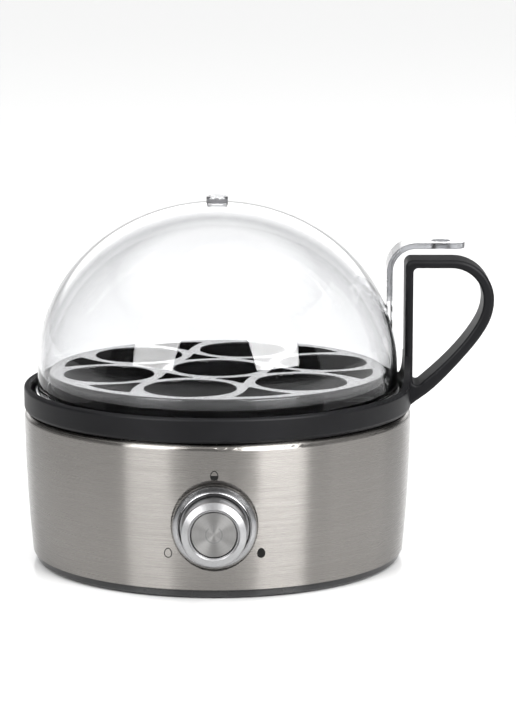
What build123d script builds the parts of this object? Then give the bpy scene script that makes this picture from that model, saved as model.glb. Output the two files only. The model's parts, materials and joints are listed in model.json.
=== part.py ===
from build123d import *
import math
import os

# Round seven-egg cooker, in millimetres. The origin is on the cooker's vertical axis at the worktop,
# +Z is up, the dial faces -Y and the carrier's handle points along +X.

# Brushed steel housing: a slightly barrelled ring that widens upwards.
HOUSING_WALL = 0.8
HOUSING_BOTTOM_Z = 4.5
HOUSING_MIDDLE_Z = 37.0
HOUSING_TOP_Z = 72.2
HOUSING_BOTTOM_R = 89.0
HOUSING_MIDDLE_R = 91.4
HOUSING_TOP_R = 92.4
HOUSING_LIP_R = 88.3
HOUSING_EDGE_ROUND = 2.6

# Base plate and its rubber ring.
BASE_BOTTOM_Z = 0.8
FLOOR_TOP_Z = 4.4
FOOT_INNER_R = 66.0
FOOT_OUTER_R = 72.0
FOOT_GROOVE_Z = 2.6

# Tie screws that pull the base plate, the housing and the top frame together.
TIE_SCREW_RADIUS = 80.0
TIE_SCREW_COUNT = 4
TIE_POST_R = 4.0
TIE_SPLIT_Z = 34.0

# Water pan, heater and shield, stacked under the top frame.
PAN_RIM_R = 77.2
PAN_RIM_Z = 68.2
PAN_SHEET = 0.7
PAN_FLOOR_Z = 57.9
SPREADER_R = 62.0
SPREADER_THICK = 3.0
SPREADER_Z = PAN_FLOOR_Z - SPREADER_THICK
ELEMENT_RADIUS = 46.0
ELEMENT_TUBE_R = 3.5
SHIELD_R = 66.0
SHIELD_Z = 43.4
SHIELD_SHEET = 0.8
STUD_RADIUS = 28.0
STUD_COUNT = 3

# Egg carrier: a matt black ring with a loop handle, moulded as one.
RING_BOTTOM_Z = 72.8
RING_TOP_Z = 84.4
RING_LOW_ROUND = 2.0
RING_R = 92.5
RING_WALL_IN_R = 89.5
RING_LEDGE_Z = 79.0
RING_HOLE_R = 77.0
HANDLE_WIDTH = 22.0
HANDLE_TOP_Z = 144.4
HANDLE_END_X = 131.1
HANDLE_LEG_X = 92.8
HANDLE_FLARE_R = 14.0
HANDLE_CURVE_R = 19.0
WINDOW_END_X = 126.0
WINDOW_TOP_Z = 140.6
WINDOW_CURVE_R = 15.2

# Egg tray: one hole in the middle and six around it, with steam windows between them.
TRAY_R = 80.6
TRAY_TOP_Z = 91.0
TRAY_FOOT_Z = 79.1
TRAY_PLATE = 1.8
EGG_HOLE_R = 21.15
EGG_RING_RADIUS = 53.4
EGG_RING_START = 17.5
EGG_SKIRT = 1.2
WINDOW_START = EGG_RING_START + 30
INNER_WINDOW_RADIUS = EGG_RING_RADIUS / math.sqrt(3)
INNER_WINDOW_TIP = 11.8
INNER_WINDOW_SIDE = 4.8
OUTER_WINDOW_TIP = 50.0
OUTER_WINDOW_MIDDLE = (61.8, 5.2)
OUTER_WINDOW_CORNER = (73.6, 10.9)
OUTER_WINDOW_REACH = 74.8

# Clear lid.
DOME_R = 85.8
DOME_HEIGHT = 76.9
DOME_CENTRE_Z = 93.9
DOME_WALL = 2.0
LID_RIM_R = 88.2
LID_RIM_Z = 79.3
VENT_TOP_Z = 173.8
VENT_R = 5.15
VENT_HOLE_R = 1.6
TAB_WIDTH = 20.0
TAB_THICK = 2.8
TAB_OUTER_X = 83.0
TAB_TOP_Z = 152.6
TAB_END_X = 117.0
TAB_BEND_R = 14.0
TAB_HOLE_X = 106.0
TAB_HOLE_R = 4.65

# Dial and power button, on an axis that points out of the front. Distances along that axis are
# measured outwards from the cooker's vertical axis.
KNOB_Z = 34.0
SEAT_OUT = 88.8
SEAT_R = 19.6
BEZEL_R = 19.0
BEZEL_NECK_R = 15.8
BEZEL_HOLE_R = 16.0
BEZEL_BORE_R = 11.0
BRACKET_OUT = 84.0
BOARD_OUT = 69.6
DIAL_R = 14.9
DIAL_FACE_OUT = 105.2
DIAL_FLOOR_OUT = 96.0
SHAFT_R = 5.8
SHAFT_BORE_R = 4.0
SHAFT_END_OUT = 74.2
BUTTON_R = 10.35
BUTTON_BORE_R = 10.75
BUTTON_FACE_OUT = 104.3
PLUNGER_R = 3.9
PLUNGER_END_OUT = 75.1

# Cord gland at the back.
GLAND_Z = 22.0
GLAND_OUT = 91.0
GLAND_BORE_R = 3.6

KNOB_AXIS = Axis((0, 0, KNOB_Z), (0, -1, 0))
# Section through the knob: x is the distance outwards, y is the radius above the knob's axis.
KNOB_SECTION = Plane(origin=(0, 0, KNOB_Z), x_dir=(0, -1, 0), z_dir=(-1, 0, 0))
GLAND_AXIS = Axis((0, 0, GLAND_Z), (0, 1, 0))
GLAND_SECTION = Plane(origin=(0, 0, GLAND_Z), x_dir=(0, 1, 0), z_dir=(1, 0, 0))


def knob_plane(distance_out):
    """Plane square to the knob's axis, facing out of the front."""
    return Plane(origin=(0, -distance_out, KNOB_Z), x_dir=(1, 0, 0), z_dir=(0, -1, 0))


def turned(section, axis, points):
    """Solid of revolution of a closed outline with straight sides."""
    with BuildPart() as piece:
        with BuildSketch(section):
            with BuildLine():
                Polyline(*points, close=True)
            make_face()
        revolve(axis=axis)
    return piece.part


def polar(radius, angle):
    """Point in the XY plane at a radius and an angle in degrees."""
    return (radius * math.cos(math.radians(angle)), radius * math.sin(math.radians(angle)))


def pan_head_screw(head_r, head_h, shank_r, shank_h):
    """Screw with its head's underside at the origin and its shank pointing down."""
    with BuildPart() as screw:
        with BuildSketch(Plane.XY):
            Circle(head_r)
        extrude(amount=head_h)
        chamfer(screw.edges().sort_by(Axis.Z)[-1], head_h * 0.35)
        with BuildSketch(Plane.XY.offset(head_h)):
            Rectangle(head_r * 1.2, head_r * 0.3)
            Rectangle(head_r * 0.3, head_r * 1.2)
        extrude(amount=-head_h * 0.5, mode=Mode.SUBTRACT)
        with BuildSketch(Plane.XY):
            Circle(shank_r)
        extrude(amount=-shank_h)
    return screw.part


os.makedirs("parts", exist_ok=True)

# ---------------------------------------------------------------- housing shell
# The inner volume is the outer one moved in by the sheet's thickness, with the same pressed seat.
with BuildPart() as housing_hollow:
    with BuildSketch(Plane.XZ):
        with BuildLine():
            wall_in = ThreePointArc(
                (HOUSING_BOTTOM_R - HOUSING_WALL, HOUSING_BOTTOM_Z - 1),
                (HOUSING_MIDDLE_R - HOUSING_WALL, HOUSING_MIDDLE_Z),
                (HOUSING_TOP_R - HOUSING_WALL, HOUSING_TOP_Z - HOUSING_EDGE_ROUND),
            )
            shoulder_in = ThreePointArc(
                wall_in @ 1,
                (
                    HOUSING_TOP_R - HOUSING_WALL - 0.293 * (HOUSING_EDGE_ROUND - HOUSING_WALL),
                    HOUSING_TOP_Z - HOUSING_WALL - 0.293 * (HOUSING_EDGE_ROUND - HOUSING_WALL),
                ),
                (HOUSING_TOP_R - HOUSING_EDGE_ROUND, HOUSING_TOP_Z - HOUSING_WALL),
            )
            Polyline(
                shoulder_in @ 1,
                (HOUSING_LIP_R, HOUSING_TOP_Z - HOUSING_WALL),
                (HOUSING_LIP_R, HOUSING_TOP_Z + 1),
                (0, HOUSING_TOP_Z + 1),
                (0, HOUSING_BOTTOM_Z - 1),
                wall_in @ 0,
            )
        make_face()
    revolve(axis=Axis.Z)
    with BuildSketch(knob_plane(SEAT_OUT - HOUSING_WALL)):
        Circle(SEAT_R + HOUSING_WALL / 2)
    extrude(amount=8, taper=-40, mode=Mode.SUBTRACT)

with BuildPart() as housing_shell:
    with BuildSketch(Plane.XZ):
        with BuildLine():
            wall_out = ThreePointArc(
                (HOUSING_BOTTOM_R, HOUSING_BOTTOM_Z),
                (HOUSING_MIDDLE_R, HOUSING_MIDDLE_Z),
                (HOUSING_TOP_R, HOUSING_TOP_Z - HOUSING_EDGE_ROUND),
            )
            edge_round = ThreePointArc(
                wall_out @ 1,
                (
                    HOUSING_TOP_R - 0.293 * HOUSING_EDGE_ROUND,
                    HOUSING_TOP_Z - 0.293 * HOUSING_EDGE_ROUND,
                ),
                (HOUSING_TOP_R - HOUSING_EDGE_ROUND, HOUSING_TOP_Z),
            )
            Polyline(edge_round @ 1, (0, HOUSING_TOP_Z), (0, HOUSING_BOTTOM_Z), wall_out @ 0)
        make_face()
    revolve(axis=Axis.Z)
    with BuildSketch(knob_plane(SEAT_OUT)):
        Circle(SEAT_R)
    extrude(amount=8, taper=-40, mode=Mode.SUBTRACT)
    add(housing_hollow.part, mode=Mode.SUBTRACT)
    with BuildSketch(knob_plane(0)):
        Circle(BEZEL_HOLE_R)
    extrude(amount=HOUSING_TOP_R, mode=Mode.SUBTRACT)
    with BuildSketch(Plane(origin=(0, 0, GLAND_Z), x_dir=(1, 0, 0), z_dir=(0, 1, 0))):
        Circle(5.8)
    extrude(amount=HOUSING_TOP_R, mode=Mode.SUBTRACT)
housing_shell.part.label = "housing_shell"
export_step(housing_shell.part, "parts/housing_shell.step")

# ---------------------------------------------------------------- base plate
CLAMP_Y = 74.0
CLAMP_SPLIT_Z = 20.0
CLAMP_SCREW_X = 9.0
BLOCK_X = -34.0
BLOCK_Y = 52.0
with BuildPart() as base_plate:
    with BuildSketch(Plane.XZ):
        with BuildLine():
            Polyline(
                (0, 2.0),
                (FOOT_INNER_R - 2, 2.0),
                (FOOT_INNER_R - 2, BASE_BOTTOM_Z),
                (FOOT_INNER_R, BASE_BOTTOM_Z),
                (FOOT_INNER_R, FOOT_GROOVE_Z),
                (FOOT_OUTER_R, FOOT_GROOVE_Z),
                (FOOT_OUTER_R, BASE_BOTTOM_Z),
                (86.9, BASE_BOTTOM_Z),
                (87.5, 1.4),
                (87.5, 3.5),
                (88.5, 3.9),
                (88.5, HOUSING_BOTTOM_Z),
                (87.9, HOUSING_BOTTOM_Z),
                (87.9, 12.0),
                (85.7, 12.0),
                (85.7, FLOOR_TOP_Z),
                (0, FLOOR_TOP_Z),
                close=True,
            )
        make_face()
    revolve(axis=Axis.Z)
    # Posts for the tie screws, counterbored from below.
    with BuildSketch(Plane.XY.offset(FLOOR_TOP_Z - 1)):
        with PolarLocations(TIE_SCREW_RADIUS, TIE_SCREW_COUNT, start_angle=45):
            Circle(TIE_POST_R)
    extrude(amount=TIE_SPLIT_Z - FLOOR_TOP_Z + 1)
    # Wall that carries the lower half of the cord clamp.
    with BuildSketch(Plane.XY.offset(FLOOR_TOP_Z - 1)):
        with Locations((0, CLAMP_Y)):
            Rectangle(26, 8)
    extrude(amount=CLAMP_SPLIT_Z - FLOOR_TOP_Z + 1)
    with BuildSketch(Plane(origin=(0, CLAMP_Y, CLAMP_SPLIT_Z), x_dir=(1, 0, 0), z_dir=(0, -1, 0))):
        Circle(GLAND_BORE_R)
    extrude(amount=8, both=True, mode=Mode.SUBTRACT)
    # Plinth under the terminal block.
    with BuildSketch(Plane.XY.offset(FLOOR_TOP_Z - 1)):
        with Locations((BLOCK_X, BLOCK_Y)):
            Rectangle(30, 12)
    extrude(amount=4)
    # Ventilation slots.
    with BuildSketch(Plane.XY):
        with PolarLocations(30, 12):
            SlotOverall(26, 3)
    extrude(amount=6, mode=Mode.SUBTRACT)
    with BuildSketch(Plane.XY):
        with PolarLocations(TIE_SCREW_RADIUS, TIE_SCREW_COUNT, start_angle=45):
            Circle(1.8)
        with Locations((-CLAMP_SCREW_X, CLAMP_Y), (CLAMP_SCREW_X, CLAMP_Y)):
            Circle(1.3)
        with Locations((BLOCK_X - 12.6, BLOCK_Y), (BLOCK_X + 12.6, BLOCK_Y)):
            Circle(1.3)
    extrude(amount=TIE_SPLIT_Z, mode=Mode.SUBTRACT)
    with BuildSketch(Plane.XY):
        with PolarLocations(TIE_SCREW_RADIUS, TIE_SCREW_COUNT, start_angle=45):
            Circle(3.5)
    extrude(amount=2.8, mode=Mode.SUBTRACT)
base_plate.part.label = "base_plate"
export_step(base_plate.part, "parts/base_plate.step")

# Non-slip rubber ring under the base plate; its flat lower face is what the cooker stands on.
with BuildPart() as foot_ring:
    add(
        turned(
            Plane.XZ,
            Axis.Z,
            [
                (FOOT_INNER_R + 0.6, 0),
                (FOOT_OUTER_R - 0.6, 0),
                (FOOT_OUTER_R, 0.6),
                (FOOT_OUTER_R, FOOT_GROOVE_Z),
                (FOOT_INNER_R, FOOT_GROOVE_Z),
                (FOOT_INNER_R, 0.6),
            ],
        )
    )
foot_ring.part.label = "foot_ring"
export_step(foot_ring.part, "parts/foot_ring.step")

with BuildPart() as tie_screws:
    with PolarLocations(TIE_SCREW_RADIUS, TIE_SCREW_COUNT, start_angle=45):
        add(pan_head_screw(3.2, 1.8, 1.4, 50).rotate(Axis.X, 180).translate((0, 0, 2.8)))
tie_screws.part.label = "tie_screws"
export_step(tie_screws.part, "parts/tie_screws.step")

# ---------------------------------------------------------------- top frame
# Black collar inside the housing's top edge; it carries the pan and the egg carrier.
FRAME_TOP_Z = HOUSING_TOP_Z + 0.2
FRAME_LEDGE_Z = 67.2
with BuildPart() as top_frame:
    add(
        turned(
            Plane.XZ,
            Axis.Z,
            [
                (74.2, 64.8),
                (90.2, 64.8),
                (90.2, HOUSING_TOP_Z - HOUSING_EDGE_ROUND),
                (89.4, HOUSING_TOP_Z - HOUSING_WALL),
                (HOUSING_LIP_R - 0.2, HOUSING_TOP_Z - HOUSING_WALL),
                (HOUSING_LIP_R - 0.2, FRAME_TOP_Z - 0.4),
                (HOUSING_LIP_R - 0.6, FRAME_TOP_Z),
                (PAN_RIM_R + 0.4, FRAME_TOP_Z),
                (PAN_RIM_R + 0.4, FRAME_LEDGE_Z),
                (74.2, FRAME_LEDGE_Z),
            ],
        )
    )
    with BuildSketch(Plane.XY.offset(TIE_SPLIT_Z + 0.2)):
        with PolarLocations(TIE_SCREW_RADIUS, TIE_SCREW_COUNT, start_angle=45):
            Circle(TIE_POST_R)
    extrude(amount=32)
    with BuildSketch(Plane.XY.offset(TIE_SPLIT_Z)):
        with PolarLocations(TIE_SCREW_RADIUS, TIE_SCREW_COUNT, start_angle=45):
            Circle(1.4)
    extrude(amount=24, mode=Mode.SUBTRACT)
top_frame.part.label = "top_frame"
export_step(top_frame.part, "parts/top_frame.step")

# Silicone ring that seals the pan's rim on the frame's ledge.
with BuildPart() as pan_gasket:
    with BuildSketch(Plane.XY.offset(FRAME_LEDGE_Z)):
        Circle(PAN_RIM_R)
        Circle(74.5, mode=Mode.SUBTRACT)
    extrude(amount=PAN_RIM_Z - FRAME_LEDGE_Z)
pan_gasket.part.label = "pan_gasket"
export_step(pan_gasket.part, "parts/pan_gasket.step")

# ---------------------------------------------------------------- water pan
with BuildPart() as heating_pan:
    with BuildSketch(Plane.XZ):
        with BuildLine():
            under = Line((0, PAN_FLOOR_Z), (67.9, PAN_FLOOR_Z))
            corner_out = ThreePointArc(under @ 1, (71.4, 59.4), (72.9, 62.9))
            Polyline(
                corner_out @ 1,
                (73.7, PAN_RIM_Z),
                (PAN_RIM_R, PAN_RIM_Z),
                (PAN_RIM_R, PAN_RIM_Z + PAN_SHEET),
                (73.1, PAN_RIM_Z + PAN_SHEET),
                (72.2, 62.9),
            )
            corner_in = ThreePointArc((72.2, 62.9), (70.9, 59.9), (67.9, PAN_FLOOR_Z + PAN_SHEET))
            Polyline(corner_in @ 1, (0, PAN_FLOOR_Z + PAN_SHEET), (0, PAN_FLOOR_Z))
        make_face()
    revolve(axis=Axis.Z)
heating_pan.part.label = "heating_pan"
export_step(heating_pan.part, "parts/heating_pan.step")

# Aluminium plate bonded under the pan, with three threaded studs for the shield.
with BuildPart() as heat_spreader:
    with BuildSketch(Plane.XY.offset(SPREADER_Z)):
        Circle(SPREADER_R)
    extrude(amount=SPREADER_THICK)
    with BuildSketch(Plane.XY.offset(SPREADER_Z)):
        with PolarLocations(STUD_RADIUS, STUD_COUNT, start_angle=30):
            Circle(2)
    extrude(amount=-15.5)
heat_spreader.part.label = "heat_spreader"
export_step(heat_spreader.part, "parts/heat_spreader.step")

# Tubular heating element: most of a circle, with its two cold pins turned down.
ELEMENT_Z = SPREADER_Z - ELEMENT_TUBE_R - 0.1
ELEMENT_SWEEP = 320
with BuildPart() as heating_element:
    with BuildSketch(Plane.XZ):
        with Locations((ELEMENT_RADIUS, ELEMENT_Z)):
            Circle(ELEMENT_TUBE_R)
    revolve(axis=Axis.Z, revolution_arc=ELEMENT_SWEEP)
    with BuildSketch(Plane.XY.offset(ELEMENT_Z)):
        with Locations(polar(ELEMENT_RADIUS, 3), polar(ELEMENT_RADIUS, ELEMENT_SWEEP - 3)):
            Circle(1.6)
    extrude(amount=-20)
heating_element.part.label = "heating_element"
export_step(heating_element.part, "parts/heating_element.step")

# Heat shield: a shallow aluminium dish that keeps the heater off the electrics.
with BuildPart() as heat_shield:
    add(
        turned(
            Plane.XZ,
            Axis.Z,
            [
                (14, SHIELD_Z),
                (SHIELD_R, SHIELD_Z),
                (SHIELD_R, SHIELD_Z + 10),
                (SHIELD_R - SHIELD_SHEET, SHIELD_Z + 10),
                (SHIELD_R - SHIELD_SHEET, SHIELD_Z + SHIELD_SHEET),
                (14, SHIELD_Z + SHIELD_SHEET),
            ],
        )
    )
    with BuildSketch(Plane.XY.offset(SHIELD_Z)):
        with PolarLocations(STUD_RADIUS, STUD_COUNT, start_angle=30):
            Circle(2.2)
        with Locations(polar(ELEMENT_RADIUS, 3), polar(ELEMENT_RADIUS, ELEMENT_SWEEP - 3)):
            Circle(3.4)
    extrude(amount=SHIELD_SHEET, mode=Mode.SUBTRACT)
heat_shield.part.label = "heat_shield"
export_step(heat_shield.part, "parts/heat_shield.step")

# Nut above and nut below the shield on each stud.
with BuildPart() as shield_nuts:
    with BuildSketch(Plane.XY.offset(SHIELD_Z - 3)):
        with PolarLocations(STUD_RADIUS, STUD_COUNT, start_angle=30):
            RegularPolygon(3.5, 6, major_radius=False)
            Circle(2, mode=Mode.SUBTRACT)
    extrude(amount=3)
    with BuildSketch(Plane.XY.offset(SHIELD_Z + SHIELD_SHEET)):
        with PolarLocations(STUD_RADIUS, STUD_COUNT, start_angle=30):
            RegularPolygon(3.5, 6, major_radius=False)
            Circle(2, mode=Mode.SUBTRACT)
    extrude(amount=3)
shield_nuts.part.label = "shield_nuts"
export_step(shield_nuts.part, "parts/shield_nuts.step")

# Snap-disc thermostat under the middle of the plate, with two flat terminals.
with BuildPart() as thermostat:
    with BuildSketch(Plane.XY.offset(SPREADER_Z - 1.2)):
        Circle(9.5)
    extrude(amount=1.2)
    with BuildSketch(Plane.XY.offset(SPREADER_Z - 1.2)):
        Circle(7.6)
    extrude(amount=-7)
    with BuildSketch(Plane.XY.offset(SPREADER_Z - 6)):
        with Locations((-9.5, 0), (9.5, 0)):
            Rectangle(7, 5)
    extrude(amount=0.8)
thermostat.part.label = "thermostat"
export_step(thermostat.part, "parts/thermostat.step")

# One-shot thermal fuse beside it: a small can with a lead at each end, and the strap that holds it.
FUSE_Y = -18.0
FUSE_R = 2.2
FUSE_Z = SPREADER_Z - FUSE_R
fuse_plane = Plane(origin=(0, FUSE_Y, FUSE_Z), x_dir=(0, 1, 0), z_dir=(1, 0, 0))
with BuildPart() as thermal_fuse:
    with BuildSketch(fuse_plane):
        Circle(FUSE_R)
    extrude(amount=6, both=True)
    with BuildSketch(fuse_plane):
        Circle(0.6)
    extrude(amount=14, both=True)
thermal_fuse.part.label = "thermal_fuse"
export_step(thermal_fuse.part, "parts/thermal_fuse.step")

with BuildPart() as fuse_strap:
    with BuildSketch(fuse_plane):
        with Locations((0, -0.4)):
            Rectangle(2 * FUSE_R + 1.6, 2 * FUSE_R + 0.8)
        with Locations((0, FUSE_R - 0.4)):
            Rectangle(4 * FUSE_R + 5, 0.8)
        Circle(FUSE_R, mode=Mode.SUBTRACT)
        with Locations((0, FUSE_R / 2)):
            Rectangle(2 * FUSE_R, FUSE_R + 0.02, mode=Mode.SUBTRACT)
    extrude(amount=2.5, both=True)
fuse_strap.part.label = "fuse_strap"
export_step(fuse_strap.part, "parts/fuse_strap.step")

# ---------------------------------------------------------------- egg carrier
with BuildPart() as carrier_handle:
    with BuildSketch(Plane.XZ):
        with BuildLine():
            top_curve = ThreePointArc(
                (HANDLE_END_X - HANDLE_CURVE_R, HANDLE_TOP_Z),
                (HANDLE_END_X - 0.293 * HANDLE_CURVE_R, HANDLE_TOP_Z - 0.293 * HANDLE_CURVE_R),
                (HANDLE_END_X, HANDLE_TOP_Z - HANDLE_CURVE_R),
            )
            slope = Spline(
                top_curve @ 1,
                (126.8, 110.9),
                (115.8, 96.6),
                (98.9, 79.9),
                (91.3, 74.2),
                tangents=[(0, -1), (-0.76, -0.65)],
            )
            Polyline(
                slope @ 1,
                (RING_WALL_IN_R + 0.1, RING_LEDGE_Z - 3),
                (RING_WALL_IN_R - 1.5, RING_LEDGE_Z),
                (RING_WALL_IN_R - 1.5, HANDLE_TOP_Z),
                top_curve @ 0,
            )
        make_face()
    extrude(amount=HANDLE_WIDTH / 2, both=True)
    # The leg's inner face follows the ring, so that the lid's rim clears it.
    with BuildSketch(Plane.XY.offset(RING_LEDGE_Z)):
        Circle(RING_WALL_IN_R)
    extrude(amount=HANDLE_TOP_Z, mode=Mode.SUBTRACT)
    top_inner_edge = carrier_handle.edges().filter_by_position(Axis.Z, HANDLE_TOP_Z - 0.01, HANDLE_TOP_Z + 0.01)
    fillet(top_inner_edge.sort_by(Axis.X)[0], 3.4)
    with BuildSketch(Plane.XZ):
        with BuildLine():
            window_curve = ThreePointArc(
                (WINDOW_END_X - WINDOW_CURVE_R, WINDOW_TOP_Z),
                (WINDOW_END_X - 0.293 * WINDOW_CURVE_R, WINDOW_TOP_Z - 0.293 * WINDOW_CURVE_R),
                (WINDOW_END_X, WINDOW_TOP_Z - WINDOW_CURVE_R),
            )
            window_slope = Spline(
                window_curve @ 1,
                (122.2, 113.0),
                (108.8, 96.4),
                (HANDLE_LEG_X, 82.0),
                tangents=[(0, -1), (-0.76, -0.65)],
            )
            Polyline(window_slope @ 1, (HANDLE_LEG_X, WINDOW_TOP_Z), window_curve @ 0)
        make_face()
    extrude(amount=HANDLE_WIDTH, both=True, mode=Mode.SUBTRACT)
    window_corners = carrier_handle.edges().filter_by(Axis.Y).filter_by_position(
        Axis.X, HANDLE_LEG_X - 0.01, HANDLE_LEG_X + 0.01
    )
    fillet(window_corners, 2.2)
    side_faces = carrier_handle.faces().filter_by(Axis.Y).sort_by(Axis.Y)
    window_edges = side_faces[0].inner_wires()[0].edges() + side_faces[-1].inner_wires()[0].edges()
    fillet(window_edges, 1.4)
    outer_faces = carrier_handle.faces().filter_by(Axis.Y).sort_by(Axis.Y)
    outer_edges = outer_faces[0].outer_wire().edges() + outer_faces[-1].outer_wire().edges()
    grip_edges = outer_edges.filter_by(lambda edge: edge.center().X > HANDLE_LEG_X and edge.center().Z > 100)
    fillet(grip_edges, 1.8)

# Concave flares that sweep the ring's top edge up into the handle's leg.
with BuildPart() as handle_flares:
    with BuildSketch(Plane.YZ):
        with BuildLine():
            flare_side = HANDLE_WIDTH / 2 + HANDLE_FLARE_R
            flare_low = RING_TOP_Z - 0.6
            flare_high = RING_TOP_Z + HANDLE_FLARE_R
            bulge = HANDLE_FLARE_R * (1 - math.sqrt(0.5))
            ThreePointArc(
                (flare_side, RING_TOP_Z),
                (HANDLE_WIDTH / 2 + bulge, RING_TOP_Z + bulge),
                (HANDLE_WIDTH / 2, flare_high),
            )
            ThreePointArc(
                (-flare_side, RING_TOP_Z),
                (-HANDLE_WIDTH / 2 - bulge, RING_TOP_Z + bulge),
                (-HANDLE_WIDTH / 2, flare_high),
            )
            Line((HANDLE_WIDTH / 2, flare_high), (-HANDLE_WIDTH / 2, flare_high))
            Polyline(
                (flare_side, RING_TOP_Z),
                (flare_side, flare_low),
                (-flare_side, flare_low),
                (-flare_side, RING_TOP_Z),
            )
        make_face()
    extrude(amount=RING_R)
    with BuildSketch(Plane.XY.offset(RING_LEDGE_Z)):
        Circle(RING_R - 0.02)
        Circle(RING_WALL_IN_R, mode=Mode.SUBTRACT)
    extrude(amount=40, mode=Mode.INTERSECT)

with BuildPart() as egg_carrier:
    with BuildSketch(Plane.XZ):
        with BuildLine():
            low_round = ThreePointArc(
                (RING_R - RING_LOW_ROUND, RING_BOTTOM_Z),
                (RING_R - 0.293 * RING_LOW_ROUND, RING_BOTTOM_Z + 0.293 * RING_LOW_ROUND),
                (RING_R, RING_BOTTOM_Z + RING_LOW_ROUND),
            )
            high_round = ThreePointArc(
                (RING_R, RING_TOP_Z - 1.5),
                (RING_R - 0.44, RING_TOP_Z - 0.44),
                (RING_R - 1.5, RING_TOP_Z),
            )
            Line(low_round @ 1, high_round @ 0)
            Polyline(
                high_round @ 1,
                (RING_WALL_IN_R + 0.7, RING_TOP_Z),
                (RING_WALL_IN_R, RING_TOP_Z - 0.7),
                (RING_WALL_IN_R, RING_LEDGE_Z),
                # Low rib that centres the tray inside and the lid outside.
                (83.0, RING_LEDGE_Z),
                (82.8, RING_LEDGE_Z + 1.2),
                (81.2, RING_LEDGE_Z + 1.2),
                (81.0, RING_LEDGE_Z),
                (RING_HOLE_R, RING_LEDGE_Z),
                (RING_HOLE_R, RING_LEDGE_Z - 2.4),
                (RING_R - 3.6, RING_LEDGE_Z - 2.4),
                (RING_R - 3.6, RING_BOTTOM_Z + 2.2),
                (RING_R - 8.5, RING_BOTTOM_Z + 2.2),
                (RING_R - 8.5, RING_BOTTOM_Z),
                low_round @ 0,
            )
        make_face()
    revolve(axis=Axis.Z)
    add(carrier_handle.part)
    add(handle_flares.part)
egg_carrier.part.label = "egg_carrier"
export_step(egg_carrier.part, "parts/egg_carrier.step")

# ---------------------------------------------------------------- egg tray
# Steam windows: small curved triangles round the middle hole, and larger ones between the outer
# holes, closed by an arc along the tray's edge.
with BuildSketch() as inner_window:
    with BuildLine():
        for tip in (0, 120, 240):
            ThreePointArc(
                polar(INNER_WINDOW_TIP, tip),
                polar(INNER_WINDOW_SIDE, tip + 60),
                polar(INNER_WINDOW_TIP, tip + 120),
            )
    make_face()
    fillet(inner_window.vertices(), 0.9)

with BuildSketch() as outer_window:
    with BuildLine():
        middle_r, middle_angle = OUTER_WINDOW_MIDDLE
        corner_r, corner_angle = OUTER_WINDOW_CORNER
        upper_corner = polar(corner_r, corner_angle)
        lower_corner = polar(corner_r, -corner_angle)
        ThreePointArc((OUTER_WINDOW_TIP, 0), polar(middle_r, middle_angle), upper_corner)
        ThreePointArc(upper_corner, (OUTER_WINDOW_REACH, 0), lower_corner)
        ThreePointArc(lower_corner, polar(middle_r, -middle_angle), (OUTER_WINDOW_TIP, 0))
    make_face()
    fillet(outer_window.vertices(), 0.9)

with BuildPart() as egg_tray:
    with BuildSketch(Plane.XZ):
        with BuildLine():
            tray_round = ThreePointArc(
                (TRAY_R - 1.2, TRAY_TOP_Z),
                (TRAY_R - 0.35, TRAY_TOP_Z - 0.35),
                (TRAY_R, TRAY_TOP_Z - 1.2),
            )
            Polyline(
                tray_round @ 1,
                (TRAY_R, TRAY_FOOT_Z),
                (TRAY_R - 1.6, TRAY_FOOT_Z),
                (TRAY_R - 1.6, TRAY_TOP_Z - TRAY_PLATE),
                (0, TRAY_TOP_Z - TRAY_PLATE),
                (0, TRAY_TOP_Z),
                tray_round @ 0,
            )
        make_face()
    revolve(axis=Axis.Z)
    # Skirts under the egg holes.
    with BuildSketch(Plane.XY.offset(TRAY_FOOT_Z + 0.5)):
        Circle(EGG_HOLE_R + EGG_SKIRT)
        with PolarLocations(EGG_RING_RADIUS, 6, start_angle=EGG_RING_START):
            Circle(EGG_HOLE_R + EGG_SKIRT)
    extrude(amount=TRAY_TOP_Z - TRAY_PLATE - TRAY_FOOT_Z)
    with BuildSketch(Plane.XY.offset(TRAY_FOOT_Z)):
        Circle(EGG_HOLE_R)
        with PolarLocations(EGG_RING_RADIUS, 6, start_angle=EGG_RING_START):
            Circle(EGG_HOLE_R)
    extrude(amount=20, mode=Mode.SUBTRACT)
    with BuildSketch(Plane.XY.offset(TRAY_FOOT_Z)):
        with PolarLocations(INNER_WINDOW_RADIUS, 6, start_angle=WINDOW_START):
            add(inner_window.sketch)
        with PolarLocations(0, 6, start_angle=WINDOW_START):
            add(outer_window.sketch)
    extrude(amount=20, mode=Mode.SUBTRACT)
    top_openings = egg_tray.edges().filter_by(GeomType.CIRCLE).filter_by_position(
        Axis.Z, TRAY_TOP_Z - 0.01, TRAY_TOP_Z + 0.01
    )
    fillet(top_openings.filter_by(lambda edge: abs(edge.radius - EGG_HOLE_R) < 0.01), 0.5)
egg_tray.part.label = "egg_tray"
export_step(egg_tray.part, "parts/egg_tray.step")

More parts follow.
